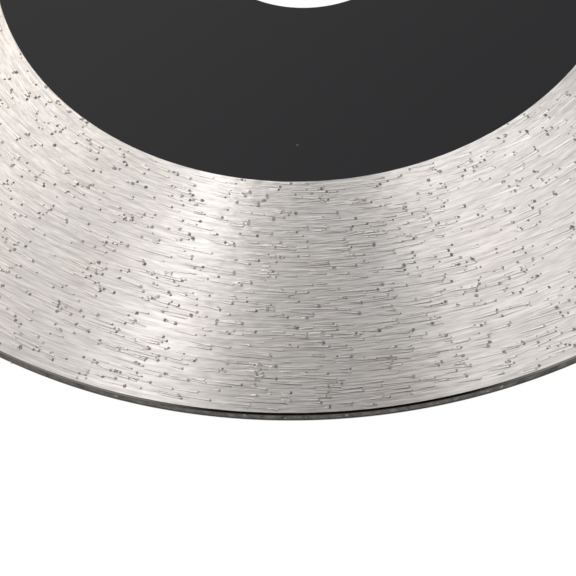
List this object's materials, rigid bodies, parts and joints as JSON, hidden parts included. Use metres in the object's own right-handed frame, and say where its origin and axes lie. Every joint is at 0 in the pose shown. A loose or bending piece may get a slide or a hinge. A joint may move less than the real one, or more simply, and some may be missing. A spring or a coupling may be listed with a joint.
{
  "type": "continuous rim diamond blade",
  "caption": "Flat round cutting blade: a thin black steel core with a central bore, and a wide unbroken ring of ground metal bond and diamond grit round it.",
  "frame": {"origin": "centre of the spindle bore, halfway through the blade's thickness", "axes": "+Z along the spindle axis; the blade lies flat in the XY plane and is the same on both faces"},
  "size_m": [0.115, 0.115, 0.0012],
  "materials": {
    "core_paint": "satin black paint with a very fine texture",
    "sintered_rim": "metal bond ground in fine circles round the axis, with diamond grit standing in it",
    "bare_steel": "bare steel of the bore wall, as the cutter left it",
    "diamond_grit": "dark glassy crystals of synthetic diamond"
  },
  "bodies": {
    "root": {"steel_core": "core_paint", "diamond_rim": "sintered_rim"}
  },
  "joints": []
}
